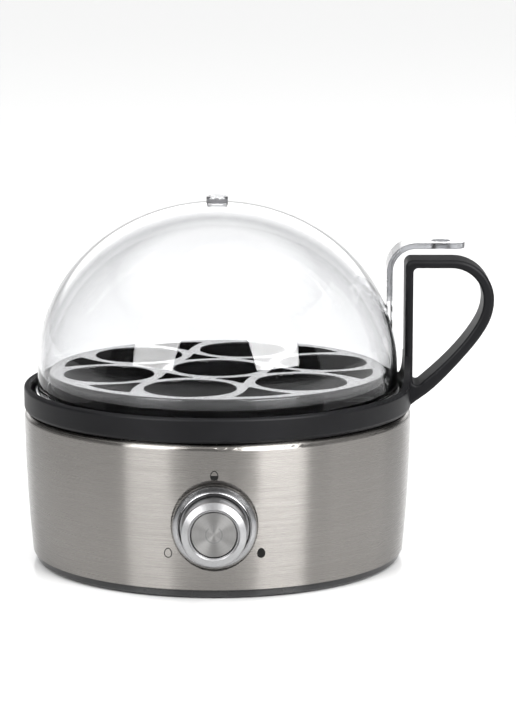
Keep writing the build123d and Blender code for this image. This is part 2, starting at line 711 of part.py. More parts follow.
# ---------------------------------------------------------------- lid
# Clear dome with a rim that drops into the carrier's groove, a vent on top and a grip tab that
# reaches over the handle, all moulded as one.
with BuildPart() as lid:
    with BuildSketch(Plane.XZ):
        with BuildLine():
            tab_bend = CenterArc((TAB_OUTER_X + 11.2, TAB_TOP_Z - TAB_BEND_R), TAB_BEND_R, 90, 90)
            inner_bend = CenterArc((TAB_OUTER_X + 11.2, TAB_TOP_Z - TAB_BEND_R), TAB_BEND_R - TAB_THICK, 90, 90)
            Polyline(
                tab_bend @ 0,
                (TAB_END_X, TAB_TOP_Z),
                (TAB_END_X, TAB_TOP_Z - TAB_THICK),
                inner_bend @ 0,
            )
            Polyline(inner_bend @ 1, (TAB_OUTER_X, 106), (TAB_OUTER_X - TAB_THICK, 106), tab_bend @ 1)
        make_face()
    extrude(amount=TAB_WIDTH / 2, both=True)
    tab_corners = lid.edges().filter_by(Axis.Z).group_by(Axis.X)[-1]
    fillet(tab_corners, 5.0)
    with BuildSketch(Plane.XZ):
        with BuildLine():
            dome_out = EllipticalCenterArc((0, DOME_CENTRE_Z), DOME_R, DOME_HEIGHT, start_angle=0, arc_size=90)
            Polyline(
                dome_out @ 0,
                (DOME_R + 0.3, 82.6),
                (LID_RIM_R, 81.2),
                (LID_RIM_R, LID_RIM_Z),
                (0, LID_RIM_Z),
                dome_out @ 1,
            )
        make_face()
    revolve(axis=Axis.Z)
    with BuildSketch(Plane.XY.offset(DOME_CENTRE_Z + DOME_HEIGHT - 1.2)):
        Circle(VENT_R)
    extrude(amount=VENT_TOP_Z - DOME_CENTRE_Z - DOME_HEIGHT + 1.2)
    with BuildSketch(Plane.XZ):
        with BuildLine():
            dome_in = EllipticalCenterArc(
                (0, DOME_CENTRE_Z),
                DOME_R - DOME_WALL,
                DOME_HEIGHT - DOME_WALL,
                start_angle=0,
                arc_size=90,
            )
            Polyline(dome_in @ 0, (DOME_R - DOME_WALL, LID_RIM_Z), (0, LID_RIM_Z), dome_in @ 1)
        make_face()
    revolve(axis=Axis.Z, mode=Mode.SUBTRACT)
    with BuildSketch(Plane.XY.offset(DOME_CENTRE_Z)):
        Circle(VENT_HOLE_R)
    extrude(amount=DOME_HEIGHT + 5, mode=Mode.SUBTRACT)
    with BuildSketch(Plane.XY.offset(VENT_TOP_Z - 1.4)):
        Circle(VENT_R - 1.3)
    extrude(amount=2, mode=Mode.SUBTRACT)
    with BuildSketch(Plane.XY.offset(TAB_TOP_Z - TAB_THICK - 1)):
        with Locations((TAB_HOLE_X, 0)):
            Circle(TAB_HOLE_R)
    extrude(amount=TAB_THICK + 2, mode=Mode.SUBTRACT)
lid.part.label = "lid"
export_step(lid.part, "parts/lid.step")

# ---------------------------------------------------------------- dial and its bezel
with BuildPart() as knob_bezel:
    add(
        turned(
            KNOB_SECTION,
            KNOB_AXIS,
            [
                (BRACKET_OUT, BEZEL_BORE_R),
                (BRACKET_OUT, BEZEL_NECK_R),
                (SEAT_OUT, BEZEL_NECK_R),
                (SEAT_OUT, BEZEL_R),
                (90.0, BEZEL_R),
                (90.6, BEZEL_R - 0.6),
                (91.0, BEZEL_R - 2.0),
                (92.3, BEZEL_R - 2.3),
                (92.5, BEZEL_R - 2.6),
                (92.3, BEZEL_R - 3.0),
                (90.8, BEZEL_R - 3.3),
                (90.8, BEZEL_BORE_R),
            ],
        )
    )
    with BuildSketch(knob_plane(BRACKET_OUT)):
        with PolarLocations((BEZEL_BORE_R + BEZEL_NECK_R) / 2, 3, start_angle=90):
            Circle(1.1)
    extrude(amount=5, mode=Mode.SUBTRACT)
knob_bezel.part.label = "knob_bezel"
export_step(knob_bezel.part, "parts/knob_bezel.step")

# Dial: an open cup whose face slopes outwards to a polished bevel round the power button.
with BuildPart() as dial:
    add(
        turned(
            KNOB_SECTION,
            KNOB_AXIS,
            [
                (93.4, SHAFT_R),
                (93.4, DIAL_R - 0.4),
                (93.8, DIAL_R),
                (DIAL_FACE_OUT - 1.9, DIAL_R),
                (DIAL_FACE_OUT - 1.2, DIAL_R - 0.3),
                (DIAL_FACE_OUT, 11.9),
                (DIAL_FACE_OUT, 11.7),
                (DIAL_FACE_OUT - 0.5, 11.2),
                (DIAL_FACE_OUT - 0.5, BUTTON_BORE_R + 0.1),
                (DIAL_FACE_OUT - 0.6, BUTTON_BORE_R),
                (DIAL_FLOOR_OUT, BUTTON_BORE_R),
                (DIAL_FLOOR_OUT, SHAFT_R),
            ],
        )
    )
dial.part.label = "dial"
export_step(dial.part, "parts/dial.step")

# Hollow shaft pressed into the dial; it turns the selector, and the button's plunger runs in it.
with BuildPart() as dial_shaft:
    with BuildSketch(knob_plane(SHAFT_END_OUT)):
        Circle(SHAFT_R)
        Circle(SHAFT_BORE_R, mode=Mode.SUBTRACT)
    extrude(amount=DIAL_FLOOR_OUT - SHAFT_END_OUT)
dial_shaft.part.label = "dial_shaft"
export_step(dial_shaft.part, "parts/dial_shaft.step")

with BuildPart() as shaft_clip:
    with BuildSketch(knob_plane(80.8)):
        Circle(SHAFT_R + 2.2)
        Circle(SHAFT_R, mode=Mode.SUBTRACT)
        with Locations((0, -SHAFT_R)):
            Rectangle(6, 8, mode=Mode.SUBTRACT)
    extrude(amount=0.8)
shaft_clip.part.label = "shaft_clip"
export_step(shaft_clip.part, "parts/shaft_clip.step")

with BuildPart() as power_button:
    add(
        turned(
            KNOB_SECTION,
            KNOB_AXIS,
            [
                (101.2, 0),
                (101.2, BUTTON_R),
                (BUTTON_FACE_OUT - 0.3, BUTTON_R),
                (BUTTON_FACE_OUT, BUTTON_R - 0.3),
                (BUTTON_FACE_OUT, 0),
            ],
        )
    )
power_button.part.label = "power_button"
export_step(power_button.part, "parts/power_button.step")

with BuildPart() as button_plunger:
    with BuildSketch(knob_plane(PLUNGER_END_OUT)):
        Circle(PLUNGER_R)
    extrude(amount=101.2 - PLUNGER_END_OUT)
    with BuildSketch(knob_plane(99.6)):
        Circle(9.6)
    extrude(amount=1.6)
button_plunger.part.label = "button_plunger"
export_step(button_plunger.part, "parts/button_plunger.step")

# Return spring between the plunger's flange and the dial's floor.
SPRING_WIRE_R = 0.25
SPRING_R = 6.6
SPRING_LOW_OUT = DIAL_FLOOR_OUT + SPRING_WIRE_R
SPRING_HIGH_OUT = 99.6 - SPRING_WIRE_R
with BuildPart() as button_spring:
    with BuildLine():
        coil = Helix(
            pitch=(SPRING_HIGH_OUT - SPRING_LOW_OUT) / 3,
            height=SPRING_HIGH_OUT - SPRING_LOW_OUT,
            radius=SPRING_R,
            center=(0, -SPRING_LOW_OUT, KNOB_Z),
            direction=(0, -1, 0),
        )
    with BuildSketch(Plane(origin=coil @ 0, z_dir=coil % 0)):
        Circle(SPRING_WIRE_R)
    sweep()
button_spring.part.label = "button_spring"
export_step(button_spring.part, "parts/button_spring.step")

# ---------------------------------------------------------------- controls behind the front
BOARD_THICK = 1.6
STANDOFF_X = 22.0
STANDOFF_Z = 15.0
with BuildPart() as control_bracket:
    with BuildSketch(knob_plane(BRACKET_OUT - 2)):
        Rectangle(54, 40)
        Circle(SHAFT_R + 0.8, mode=Mode.SUBTRACT)
        with PolarLocations((BEZEL_BORE_R + BEZEL_NECK_R) / 2, 3, start_angle=90):
            Circle(1.3, mode=Mode.SUBTRACT)
    extrude(amount=2)
    with BuildSketch(knob_plane(BRACKET_OUT - 2)):
        with GridLocations(2 * STANDOFF_X, 2 * STANDOFF_Z, 2, 2):
            Circle(3)
    extrude(amount=-(BRACKET_OUT - 2 - BOARD_OUT))
    with BuildSketch(knob_plane(BOARD_OUT)):
        with GridLocations(2 * STANDOFF_X, 2 * STANDOFF_Z, 2, 2):
            Circle(1.1)
    extrude(amount=8, mode=Mode.SUBTRACT)
control_bracket.part.label = "control_bracket"
export_step(control_bracket.part, "parts/control_bracket.step")

with BuildPart() as control_board:
    with BuildSketch(knob_plane(BOARD_OUT - BOARD_THICK)):
        Rectangle(54, 40)
        with GridLocations(2 * STANDOFF_X, 2 * STANDOFF_Z, 2, 2):
            Circle(1.3, mode=Mode.SUBTRACT)
    extrude(amount=BOARD_THICK)
control_board.part.label = "control_board"
export_step(control_board.part, "parts/control_board.step")

# Screws through the board into the bracket, and through the bracket into the bezel.
knob_screw_plane = Plane(origin=(0, -(BOARD_OUT - BOARD_THICK), KNOB_Z), x_dir=(1, 0, 0), z_dir=(0, 1, 0))
with BuildPart() as board_screws:
    board_screw = pan_head_screw(2.4, 1.6, 1.1, 8)
    for x in (-STANDOFF_X, STANDOFF_X):
        for z in (-STANDOFF_Z, STANDOFF_Z):
            add(board_screw.moved(knob_screw_plane.location * Location((x, z, 0))))
board_screws.part.label = "board_screws"
export_step(board_screws.part, "parts/board_screws.step")

bezel_screw_plane = Plane(origin=(0, -(BRACKET_OUT - 2), KNOB_Z), x_dir=(1, 0, 0), z_dir=(0, 1, 0))
with BuildPart() as bezel_screws:
    bezel_screw = pan_head_screw(1.9, 1.3, 1.1, 6.5)
    for angle in (90, 210, 330):
        x, z = polar((BEZEL_BORE_R + BEZEL_NECK_R) / 2, angle)
        add(bezel_screw.moved(bezel_screw_plane.location * Location((-x, -z, 0))))
bezel_screws.part.label = "bezel_screws"
export_step(bezel_screws.part, "parts/bezel_screws.step")

# Rotary selector on the board; the dial's shaft turns in its bore.
with BuildPart() as selector_switch:
    with BuildSketch(knob_plane(BOARD_OUT)):
        RectangleRounded(24, 24, 2)
        Circle(SHAFT_R + 0.08, mode=Mode.SUBTRACT)
    extrude(amount=8)
selector_switch.part.label = "selector_switch"
export_step(selector_switch.part, "parts/selector_switch.step")

# Push switch inside the selector's bore, in line with the button's plunger.
with BuildPart() as push_switch:
    with BuildSketch(knob_plane(BOARD_OUT)):
        Rectangle(6, 6)
    extrude(amount=3)
    with BuildSketch(knob_plane(BOARD_OUT + 3)):
        Circle(1.7)
    extrude(amount=0.8)
push_switch.part.label = "push_switch"
export_step(push_switch.part, "parts/push_switch.step")

BOARD_BACK_OUT = BOARD_OUT - BOARD_THICK
with BuildPart() as buzzer:
    with BuildSketch(knob_plane(BOARD_BACK_OUT)):
        with Locations((13, -8)):
            Circle(6)
    extrude(amount=-7)
    with BuildSketch(knob_plane(BOARD_BACK_OUT - 7)):
        with Locations((13, -8)):
            Circle(1)
    extrude(amount=2, mode=Mode.SUBTRACT)
buzzer.part.label = "buzzer"
export_step(buzzer.part, "parts/buzzer.step")

with BuildPart() as power_relay:
    with BuildSketch(knob_plane(BOARD_BACK_OUT)):
        with Locations((-9, -6)):
            Rectangle(19, 15)
    extrude(amount=-15)
    fillet(power_relay.edges().group_by(Axis.Y)[-1], 0.6)
power_relay.part.label = "power_relay"
export_step(power_relay.part, "parts/power_relay.step")

# ---------------------------------------------------------------- mains side
BLOCK_Z = FLOOR_TOP_Z + 3
with BuildPart() as terminal_block:
    with BuildSketch(Plane.XY.offset(BLOCK_Z)):
        with Locations((BLOCK_X, BLOCK_Y)):
            Rectangle(30, 12)
    extrude(amount=5)
    with BuildSketch(Plane.XY.offset(BLOCK_Z)):
        with Locations((BLOCK_X, BLOCK_Y)):
            with GridLocations(7, 0, 3, 1):
                Rectangle(5.4, 12)
    extrude(amount=12)
    with BuildSketch(Plane(origin=(BLOCK_X, BLOCK_Y, BLOCK_Z + 7), x_dir=(1, 0, 0), z_dir=(0, 1, 0))):
        with GridLocations(7, 0, 3, 1):
            Circle(1.5)
    extrude(amount=6, both=True, mode=Mode.SUBTRACT)
    with BuildSketch(Plane.XY.offset(BLOCK_Z)):
        with Locations((BLOCK_X - 12.6, BLOCK_Y), (BLOCK_X + 12.6, BLOCK_Y)):
            Circle(1.5)
    extrude(amount=6, mode=Mode.SUBTRACT)
terminal_block.part.label = "terminal_block"
export_step(terminal_block.part, "parts/terminal_block.step")

with BuildPart() as block_screws:
    block_screw = pan_head_screw(1.9, 1.4, 1.3, 9)
    for x in (BLOCK_X - 12.6, BLOCK_X + 12.6):
        add(block_screw.translate((x, BLOCK_Y, BLOCK_Z + 5)))
block_screws.part.label = "block_screws"
export_step(block_screws.part, "parts/block_screws.step")

# Bushing that lines the housing's rear hole, where the mains cord leaves.
with BuildPart() as cord_gland:
    add(
        turned(
            GLAND_SECTION,
            GLAND_AXIS,
            [
                (85.0, GLAND_BORE_R),
                (85.0, 7.0),
                (88.6, 7.0),
                (88.6, 5.8),
                (GLAND_OUT, 5.8),
                (GLAND_OUT, 7.0),
                (GLAND_OUT + 1.4, 7.0),
                (GLAND_OUT + 2.2, 6.2),
                (GLAND_OUT + 2.2, GLAND_BORE_R),
            ],
        )
    )
cord_gland.part.label = "cord_gland"
export_step(cord_gland.part, "parts/cord_gland.step")

# Upper half of the cord clamp and its two screws.
with BuildPart() as cord_clamp:
    with BuildSketch(Plane.XY.offset(CLAMP_SPLIT_Z)):
        with Locations((0, CLAMP_Y)):
            RectangleRounded(26, 8, 1.5)
    extrude(amount=6)
    with BuildSketch(Plane(origin=(0, CLAMP_Y, CLAMP_SPLIT_Z), x_dir=(1, 0, 0), z_dir=(0, -1, 0))):
        Circle(GLAND_BORE_R)
    extrude(amount=8, both=True, mode=Mode.SUBTRACT)
    with BuildSketch(Plane.XY.offset(CLAMP_SPLIT_Z)):
        with Locations((-CLAMP_SCREW_X, CLAMP_Y), (CLAMP_SCREW_X, CLAMP_Y)):
            Circle(1.5)
    extrude(amount=8, mode=Mode.SUBTRACT)
cord_clamp.part.label = "cord_clamp"
export_step(cord_clamp.part, "parts/cord_clamp.step")

with BuildPart() as clamp_screws:
    clamp_screw = pan_head_screw(2.6, 1.8, 1.3, 14)
    for x in (-CLAMP_SCREW_X, CLAMP_SCREW_X):
        add(clamp_screw.translate((x, CLAMP_Y, CLAMP_SPLIT_Z + 6)))
clamp_screws.part.label = "clamp_screws"
export_step(clamp_screws.part, "parts/clamp_screws.step")

# ---------------------------------------------------------------- internal leads
# Heat-proof leads, each a tube along straight runs joined by the largest tangent arcs that fit.
LEAD_R = 1.1
LEAD_ROUTES = [
    # Live: terminal block to relay, along the floor.
    [(-41, 46, 14.4), (-42, 32, 13), (-50, 6, 10), (-44, -24, 10), (-24, -43, 16), (-12, -52.1, 24)],
    # Neutral: terminal block, up through the middle of the shield, to the thermal fuse.
    [(-34, 46, 14.4), (-33, 32, 15), (-20, 12, 22), (-9, -5, 34), (-6.5, -7, 45.5), (-14.9, -16.8, 52.2)],
    # Earth: terminal block to the heat shield.
    [(-27, 46, 14.4), (-25, 34, 17), (-20, 24, 28), (-20, 21, 42)],
    # Switched: relay to the thermostat.
    [(-2, -52.2, 28), (4, -44, 27), (9, -22, 30), (11, -3, 39), (11, 0, 48.3)],
    # Relay to the heating element's first cold pin.
    [(-5, -52, 23), (8, -43, 20), (30, -20, 20), (43, -2, 24), (45.9, 2.4, 30.7)],
]


def bend_radii(points):
    """Radius at each corner: 0.45 of the shorter run over the tangent of half the turn."""
    radii = []
    for before, corner, after in zip(points, points[1:], points[2:]):
        run_in = Vector(*corner) - Vector(*before)
        run_out = Vector(*after) - Vector(*corner)
        half_turn = math.radians(run_in.get_angle(run_out)) / 2
        radii.append(0.45 * min(run_in.length, run_out.length) / math.tan(half_turn))
    return radii


with BuildPart() as internal_leads:
    for route in LEAD_ROUTES:
        with BuildLine() as lead_path:
            FilletPolyline(*route, radius=bend_radii(route))
        with BuildSketch(Plane(origin=lead_path.line @ 0, z_dir=lead_path.line % 0)):
            Circle(LEAD_R)
        sweep(path=lead_path.line)
internal_leads.part.label = "internal_leads"
export_step(internal_leads.part, "parts/internal_leads.step")
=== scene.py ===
import json
import math

import bmesh
import bpy
from mathutils import Matrix, Vector
from mathutils.bvhtree import BVHTree


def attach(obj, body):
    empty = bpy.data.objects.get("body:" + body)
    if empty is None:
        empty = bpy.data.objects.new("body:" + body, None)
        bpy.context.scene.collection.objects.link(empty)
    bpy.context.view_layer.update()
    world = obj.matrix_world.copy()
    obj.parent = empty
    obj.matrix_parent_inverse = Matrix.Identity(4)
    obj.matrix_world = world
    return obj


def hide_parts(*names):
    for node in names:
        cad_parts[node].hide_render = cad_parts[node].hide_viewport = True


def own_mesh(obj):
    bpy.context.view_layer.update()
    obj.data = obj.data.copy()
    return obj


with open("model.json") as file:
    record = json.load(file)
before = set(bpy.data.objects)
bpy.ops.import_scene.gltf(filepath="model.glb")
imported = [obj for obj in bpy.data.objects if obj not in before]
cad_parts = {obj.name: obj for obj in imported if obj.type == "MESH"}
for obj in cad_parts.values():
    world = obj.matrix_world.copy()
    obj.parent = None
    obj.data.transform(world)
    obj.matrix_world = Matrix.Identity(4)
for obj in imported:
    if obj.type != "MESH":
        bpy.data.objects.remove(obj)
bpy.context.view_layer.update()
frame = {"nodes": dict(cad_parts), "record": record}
nodes = frame["nodes"]
scene = bpy.context.scene

MM = 0.001
WHITE = (1.0, 1.0, 1.0, 1.0)
KNOB_Z = 34.0

# ---------------------------------------------------------------- camera
CAMERA_TARGET = Vector((0.0193, 0.0, 0.085))
CAMERA_DISTANCE = 1.4
CAMERA_ELEVATION = math.radians(10.57)
CAMERA_AZIMUTH = math.radians(0.23)
CAMERA_LENS = 147.4
CAMERA_SENSOR = 36.0
CAMERA_SHIFT = 0.0325

camera_data = bpy.data.cameras.new("camera")
camera_data.lens = CAMERA_LENS
camera_data.sensor_width = CAMERA_SENSOR
camera_data.shift_y = CAMERA_SHIFT
camera = bpy.data.objects.new("camera", camera_data)
scene.collection.objects.link(camera)
camera.location = CAMERA_TARGET + CAMERA_DISTANCE * Vector(
    (
        math.sin(CAMERA_AZIMUTH) * math.cos(CAMERA_ELEVATION),
        -math.cos(CAMERA_AZIMUTH) * math.cos(CAMERA_ELEVATION),
        math.sin(CAMERA_ELEVATION),
    )
)
camera.rotation_euler = (CAMERA_TARGET - camera.location).to_track_quat("-Z", "Y").to_euler()
scene.camera = camera
scene.view_settings.view_transform = "Standard"


# ---------------------------------------------------------------- node helpers
class Nodes:
    """Short names for adding and linking nodes in one tree."""

    def __init__(self, tree):
        self.tree = tree

    def add(self, kind, **settings):
        node = self.tree.nodes.new(kind)
        for name, value in settings.items():
            setattr(node, name, value)
        return node

    def link(self, source, target):
        self.tree.links.new(source, target)

    def coords(self, scale=(1, 1, 1), rotation=(0, 0, 0)):
        """Object coordinates, scaled to the grain's size."""
        where = self.add("ShaderNodeTexCoord")
        mapping = self.add("ShaderNodeMapping")
        mapping.inputs["Scale"].default_value = scale
        mapping.inputs["Rotation"].default_value = rotation
        self.link(where.outputs["Object"], mapping.inputs["Vector"])
        return mapping.outputs["Vector"]

    def noise(self, vector, detail=4.0, roughness=0.55, scale=1.0):
        noise = self.add("ShaderNodeTexNoise")
        noise.inputs["Scale"].default_value = scale
        noise.inputs["Detail"].default_value = detail
        noise.inputs["Roughness"].default_value = roughness
        self.link(vector, noise.inputs["Vector"])
        return noise.outputs["Fac"]

    def ramp(self, factor, stops, interpolation="LINEAR"):
        ramp = self.add("ShaderNodeValToRGB")
        ramp.color_ramp.interpolation = interpolation
        elements = ramp.color_ramp.elements
        while len(elements) < len(stops):
            elements.new(0.5)
        for element, (position, color) in zip(elements, stops):
            element.position = position
            element.color = color
        self.link(factor, ramp.inputs["Fac"])
        return ramp.outputs["Color"]

    def span(self, value, low, high, from_low=0.3, from_high=0.7):
        span = self.add("ShaderNodeMapRange")
        span.inputs["From Min"].default_value = from_low
        span.inputs["From Max"].default_value = from_high
        span.inputs["To Min"].default_value = low
        span.inputs["To Max"].default_value = high
        self.link(value, span.inputs["Value"])
        return span.outputs["Result"]

    def math(self, operation, first, second=None):
        node = self.add("ShaderNodeMath", operation=operation)
        for socket, value in zip(node.inputs, (first, second)):
            if isinstance(value, (int, float)):
                socket.default_value = value
            elif value is not None:
                self.link(value, socket)
        return node.outputs["Value"]

    def mix(self, first, second, share):
        """The first value's share plus the rest of the second."""
        return self.math("ADD", self.math("MULTIPLY", first, share), self.math("MULTIPLY", second, 1 - share))

    def split(self, vector):
        """The vector's three parts, by name."""
        apart = self.add("ShaderNodeSeparateXYZ")
        self.link(vector, apart.inputs["Vector"])
        return apart.outputs

    def bump(self, height, strength, distance):
        bump = self.add("ShaderNodeBump")
        bump.inputs["Strength"].default_value = strength
        bump.inputs["Distance"].default_value = distance
        self.link(height, bump.inputs["Height"])
        return bump.outputs["Normal"]


def new_material(name, **inputs):
    """A material with one Principled shader, and its constant inputs set on the shader itself."""
    material = bpy.data.materials.new(name)
    material.use_nodes = True
    shader = material.node_tree.nodes["Principled BSDF"]
    for socket, value in inputs.items():
        shader.inputs[socket.replace("_", " ")].default_value = value
    return material, Nodes(material.node_tree), shader


def grey(value, alpha=1.0):
    return (value, value, value, alpha)


def moulded(name, dark, light, rough, grain, height, **inputs):
    """Moulded plastic, rubber or cast metal: fine grain over broad, faint mottling."""
    material, n, shader = new_material(name, **inputs)
    fine = n.noise(n.coords((grain, grain, grain)), detail=3)
    broad = n.noise(n.coords((38, 38, 38)), detail=5)
    n.link(n.ramp(broad, [(0.3, (*dark, 1)), (0.7, (*light, 1))]), shader.inputs["Base Color"])
    n.link(n.span(n.mix(fine, broad, 0.5), *rough), shader.inputs["Roughness"])
    if height:
        n.link(n.bump(fine, 0.25, height * MM), shader.inputs["Normal"])
    return material


def brushed(name, dark, light, rough, scale, height):
    """Brushed or drawn metal: streaks that are long one way and fine the other."""
    material, n, shader = new_material(name, Metallic=1.0)
    streaks = n.noise(n.coords(scale), detail=6, roughness=0.65)
    broad = n.noise(n.coords((25, 25, 25)), detail=3)
    n.link(n.ramp(streaks, [(0.3, (*dark, 1)), (0.7, (*light, 1))]), shader.inputs["Base Color"])
    n.link(n.span(n.mix(streaks, broad, 0.7), *rough), shader.inputs["Roughness"])
    n.link(n.bump(streaks, 0.3, height * MM), shader.inputs["Normal"])
    return material


# ---------------------------------------------------------------- materials
ACROSS_GROOVES = 0.25
ACRYLIC_IOR = 1.49


def brushed_steel():
    """Horizontally brushed steel: light spreads up and down, so upright lamps show as broad bands."""
    material, n, shader = new_material(
        "brushed_steel", Metallic=1.0, Anisotropic=1.0, Anisotropic_Rotation=ACROSS_GROOVES
    )
    fine = n.noise(n.coords((26, 26, 5200)), detail=5, roughness=0.7)
    coarse = n.noise(n.coords((9, 9, 900)), detail=4, roughness=0.6)
    streaks = n.mix(fine, coarse, 0.8)
    n.link(
        n.ramp(streaks, [(0.3, (0.226, 0.215, 0.201, 1)), (0.7, (0.298, 0.285, 0.271, 1))]),
        shader.inputs["Base Color"],
    )
    n.link(n.span(streaks, 0.23, 0.30), shader.inputs["Roughness"])
    n.link(n.bump(fine, 0.18, 0.012 * MM), shader.inputs["Normal"])
    tangent = n.add("ShaderNodeTangent", direction_type="RADIAL", axis="Z")
    n.link(tangent.outputs["Tangent"], shader.inputs["Tangent"])
    return material


def spun_metal():
    """Spun disc: fine rings round the knob's axis."""
    material, n, shader = new_material(
        "spun_metal", Metallic=1.0, Anisotropic=0.9, Anisotropic_Rotation=ACROSS_GROOVES
    )
    apart = n.split(n.add("ShaderNodeTexCoord").outputs["Object"])
    rise = n.math("SUBTRACT", apart["Z"], KNOB_Z * MM)
    across = n.math("MULTIPLY", apart["X"], apart["X"])
    radius = n.math("SQRT", n.math("ADD", across, n.math("MULTIPLY", rise, rise)))
    ring = n.add("ShaderNodeCombineXYZ")
    n.link(n.math("MULTIPLY", radius, 6000.0), ring.inputs["X"])
    rings = n.noise(ring.outputs["Vector"], detail=4, roughness=0.6)
    n.link(
        n.ramp(rings, [(0.3, (0.20, 0.197, 0.193, 1)), (0.7, (0.33, 0.326, 0.32, 1))]),
        shader.inputs["Base Color"],
    )
    n.link(n.span(rings, 0.32, 0.42), shader.inputs["Roughness"])
    n.link(n.bump(rings, 0.25, 0.01 * MM), shader.inputs["Normal"])
    tangent = n.add("ShaderNodeTangent", direction_type="RADIAL", axis="Y")
    n.link(tangent.outputs["Tangent"], shader.inputs["Tangent"])
    return material


def matt_black():
    """Fine-grained black moulding, rougher on the faces that look up."""
    material = moulded(
        "matt_black", (0.004, 0.004, 0.0045), (0.007, 0.007, 0.008), (0.36, 0.44), 3000.0, 0.006,
        Specular_IOR_Level=0.14,
    )
    n = Nodes(material.node_tree)
    roughness = material.node_tree.nodes["Principled BSDF"].inputs["Roughness"]
    grain = roughness.links[0].from_socket
    upward = n.split(n.add("ShaderNodeNewGeometry").outputs["Normal"])["Z"]
    n.link(n.math("ADD", grain, n.span(upward, 0.0, 0.38, 0.5, 0.95)), roughness)
    return material


def clear_plastic(name, tint, rough):
    """Clear polished plastic, with faint wipe marks in its gloss. Where its tint is grey, the tint is painted
    shade.
    """
    material, n, shader = new_material(
        name, IOR=ACRYLIC_IOR, Transmission_Weight=1.0, Base_Color=(*tint, 1)
    )
    wipes = n.noise(n.coords((40, 40, 15)), detail=5)
    n.link(n.span(wipes, *rough, 0.45, 0.8), shader.inputs["Roughness"])
    return material


# Each row: name, darker and lighter colour, roughness range, grain scale, grain height, other inputs.
MOULDED = (
    (
        "print_black", (0.003, 0.003, 0.003), (0.006, 0.006, 0.006), (0.5, 0.6), 3000.0, 0,
        {"Specular_IOR_Level": 0.15},
    ),
    ("etched", (0.16, 0.16, 0.16), (0.24, 0.24, 0.24), (0.4, 0.5), 5000.0, 0.006, {"Metallic": 0.8}),
    # Painted shade: the vent collar's grey stands in for the dark seen through the clear vent.
    (
        "vent_painted_shade", (0.16, 0.16, 0.17), (0.30, 0.30, 0.31), (0.18, 0.30), 900.0, 0.02,
        {"IOR": ACRYLIC_IOR, "Transmission_Weight": 0.35},
    ),
    ("black_plastic", (0.010, 0.010, 0.011), (0.016, 0.016, 0.017), (0.14, 0.24), 2200.0, 0.03, {}),
    ("black_rubber", (0.018, 0.018, 0.019), (0.030, 0.030, 0.031), (0.6, 0.78), 1400.0, 0.03, {}),
    (
        "gloss_black", (0.004, 0.004, 0.0045), (0.007, 0.007, 0.008), (0.17, 0.23), 400.0, 0,
        {"Specular_IOR_Level": 0.62},
    ),
    ("grey_silicone", (0.36, 0.36, 0.36), (0.46, 0.46, 0.46), (0.45, 0.6), 2200.0, 0.03, {}),
    ("white_plastic", (0.70, 0.70, 0.67), (0.78, 0.78, 0.76), (0.32, 0.45), 2200.0, 0.03, {}),
    ("thermostat_body", (0.07, 0.05, 0.04), (0.13, 0.10, 0.08), (0.4, 0.55), 2200.0, 0.03, {}),
    ("switch_black", (0.028, 0.028, 0.031), (0.045, 0.045, 0.048), (0.35, 0.5), 2200.0, 0.03, {}),
    ("circuit_board", (0.012, 0.11, 0.045), (0.025, 0.18, 0.075), (0.22, 0.35), 900.0, 0.03, {}),
    ("lead_sleeve", (0.38, 0.14, 0.06), (0.52, 0.22, 0.10), (0.4, 0.55), 2200.0, 0.03, {}),
    ("cast_aluminium", (0.50, 0.51, 0.52), (0.66, 0.67, 0.68), (0.4, 0.55), 700.0, 0.08, {"Metallic": 1.0}),
)
# Each row: name, darker and lighter colour, roughness range, streak scale, streak height.
BRUSHED = (
    ("stainless_pan", (0.52, 0.51, 0.50), (0.70, 0.69, 0.68), (0.2, 0.32), (60, 60, 900), 0.02),
    ("zinc_steel", (0.52, 0.53, 0.55), (0.70, 0.71, 0.73), (0.22, 0.38), (300, 300, 2400), 0.02),
    ("element_tube", (0.20, 0.18, 0.15), (0.40, 0.37, 0.34), (0.4, 0.6), (200, 200, 200), 0.02),
    ("sheet_aluminium", (0.62, 0.63, 0.64), (0.78, 0.79, 0.80), (0.22, 0.34), (30, 1500, 30), 0.02),
    ("gunmetal", (0.25, 0.25, 0.255), (0.33, 0.33, 0.335), (0.20, 0.26), (900, 900, 900), 0.002),
    ("satin_silver", (0.31, 0.31, 0.315), (0.38, 0.38, 0.385), (0.30, 0.38), (1500, 1500, 1500), 0.004),
    ("brass_screws", (0.60, 0.44, 0.16), (0.76, 0.60, 0.26), (0.2, 0.35), (400, 400, 2000), 0.02),
)
# Each row: name, tint, roughness range.
CLEAR = (
    ("clear_plastic", (0.950, 0.954, 0.962), (0.0, 0.02)),
    # Painted shade: the tab's grey tint and its edges' darker tint stand in for the dark seen through the
    # clear tab.
    ("tab_painted_shade", (0.62, 0.625, 0.64), (0.03, 0.07)),
    ("tab_edge_painted_shade", (0.30, 0.305, 0.32), (0.25, 0.35)),
)

materials = {"brushed_steel": brushed_steel(), "spun_metal": spun_metal(), "matt_black": matt_black()}
for *look, inputs in MOULDED:
    materials[look[0]] = moulded(*look, **inputs)
for look in BRUSHED:
    materials[look[0]] = brushed(*look)
for look in CLEAR:
    materials[look[0]] = clear_plastic(*look)

for part in frame["record"]["subparts"]:
    node = nodes[part["node"]]
    node.data.materials.clear()
    node.data.materials.append(materials[part["material_slot"]])


